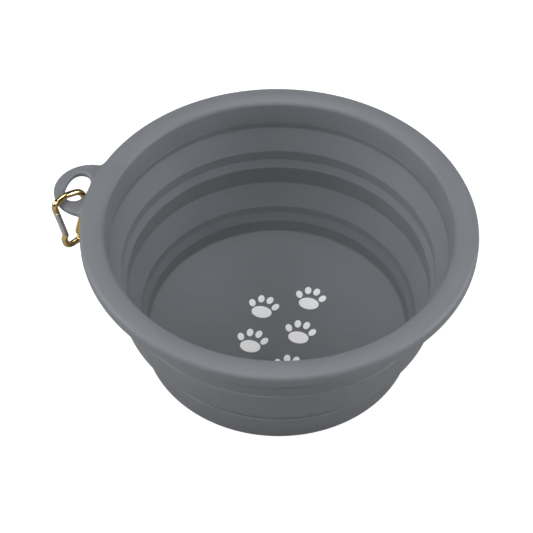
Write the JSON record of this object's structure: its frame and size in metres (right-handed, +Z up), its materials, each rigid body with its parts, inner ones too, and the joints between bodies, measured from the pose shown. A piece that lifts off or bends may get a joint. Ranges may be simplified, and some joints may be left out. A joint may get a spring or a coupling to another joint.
{
  "type": "collapsible pet travel bowl with carabiner",
  "caption": "Round collapsible silicone travel bowl with stepped folding walls, a thick soft lip, a slotted hanging tab and a small spring-gate carabiner.",
  "frame": {"origin": "centre of the flat underside of the base", "axes": "+Z up along the bowl's axis, from the underside to the lip; -X points out through the hanging tab"},
  "size_m": [0.1947, 0.178, 0.0773],
  "materials": {
    "silicone": "satin moulded silicone, cool mid grey",
    "white_ink": "flat white printed silicone ink",
    "gold_metal": "polished pale gold plating",
    "gate_metal": "satin silver",
    "pin_steel": "bright drawn steel"
  },
  "bodies": {
    "base": {"base_floor": "silicone", "base_ring": "silicone", "floor_print": "white_ink", "lower_fold_web": "silicone"},
    "middle": {"middle_ring": "silicone", "upper_fold_web": "silicone"},
    "rim": {"rim_ring": "silicone", "hanging_tab": "silicone"},
    "carabiner": {"carabiner_frame": "gold_metal"},
    "gate": {"carabiner_gate": "gate_metal", "gate_hinge_pin": "pin_steel", "gate_latch_pin": "pin_steel", "gate_spring": "pin_steel", "gate_plunger": "pin_steel"}
  },
  "joints": [
    {"name": "lower_fold", "type": "slide", "parent": "base", "child": "middle", "axis": [0, 0, -1], "range_m": [0, 0.023], "deforming": ["lower_fold_web"]},
    {"name": "upper_fold", "type": "slide", "parent": "middle", "child": "rim", "axis": [0, 0, -1], "range_m": [0, 0.023], "deforming": ["upper_fold_web"]},
    {"name": "carabiner_swing", "type": "hinge", "parent": "rim", "child": "carabiner", "pos_m": [-0.09753, -0.01017, 0.0713], "axis": [-0.8171, 0.5764, 0], "range_deg": [0, 80]},
    {"name": "gate_hinge", "type": "hinge", "parent": "carabiner", "child": "gate", "pos_m": [-0.09893, -0.01216, 0.0538], "axis": [-0.8171, 0.5764, 0], "range_deg": [0, 35], "stiffness_Nm_per_rad": 0.005, "springref_deg": -17.19}
  ]
}
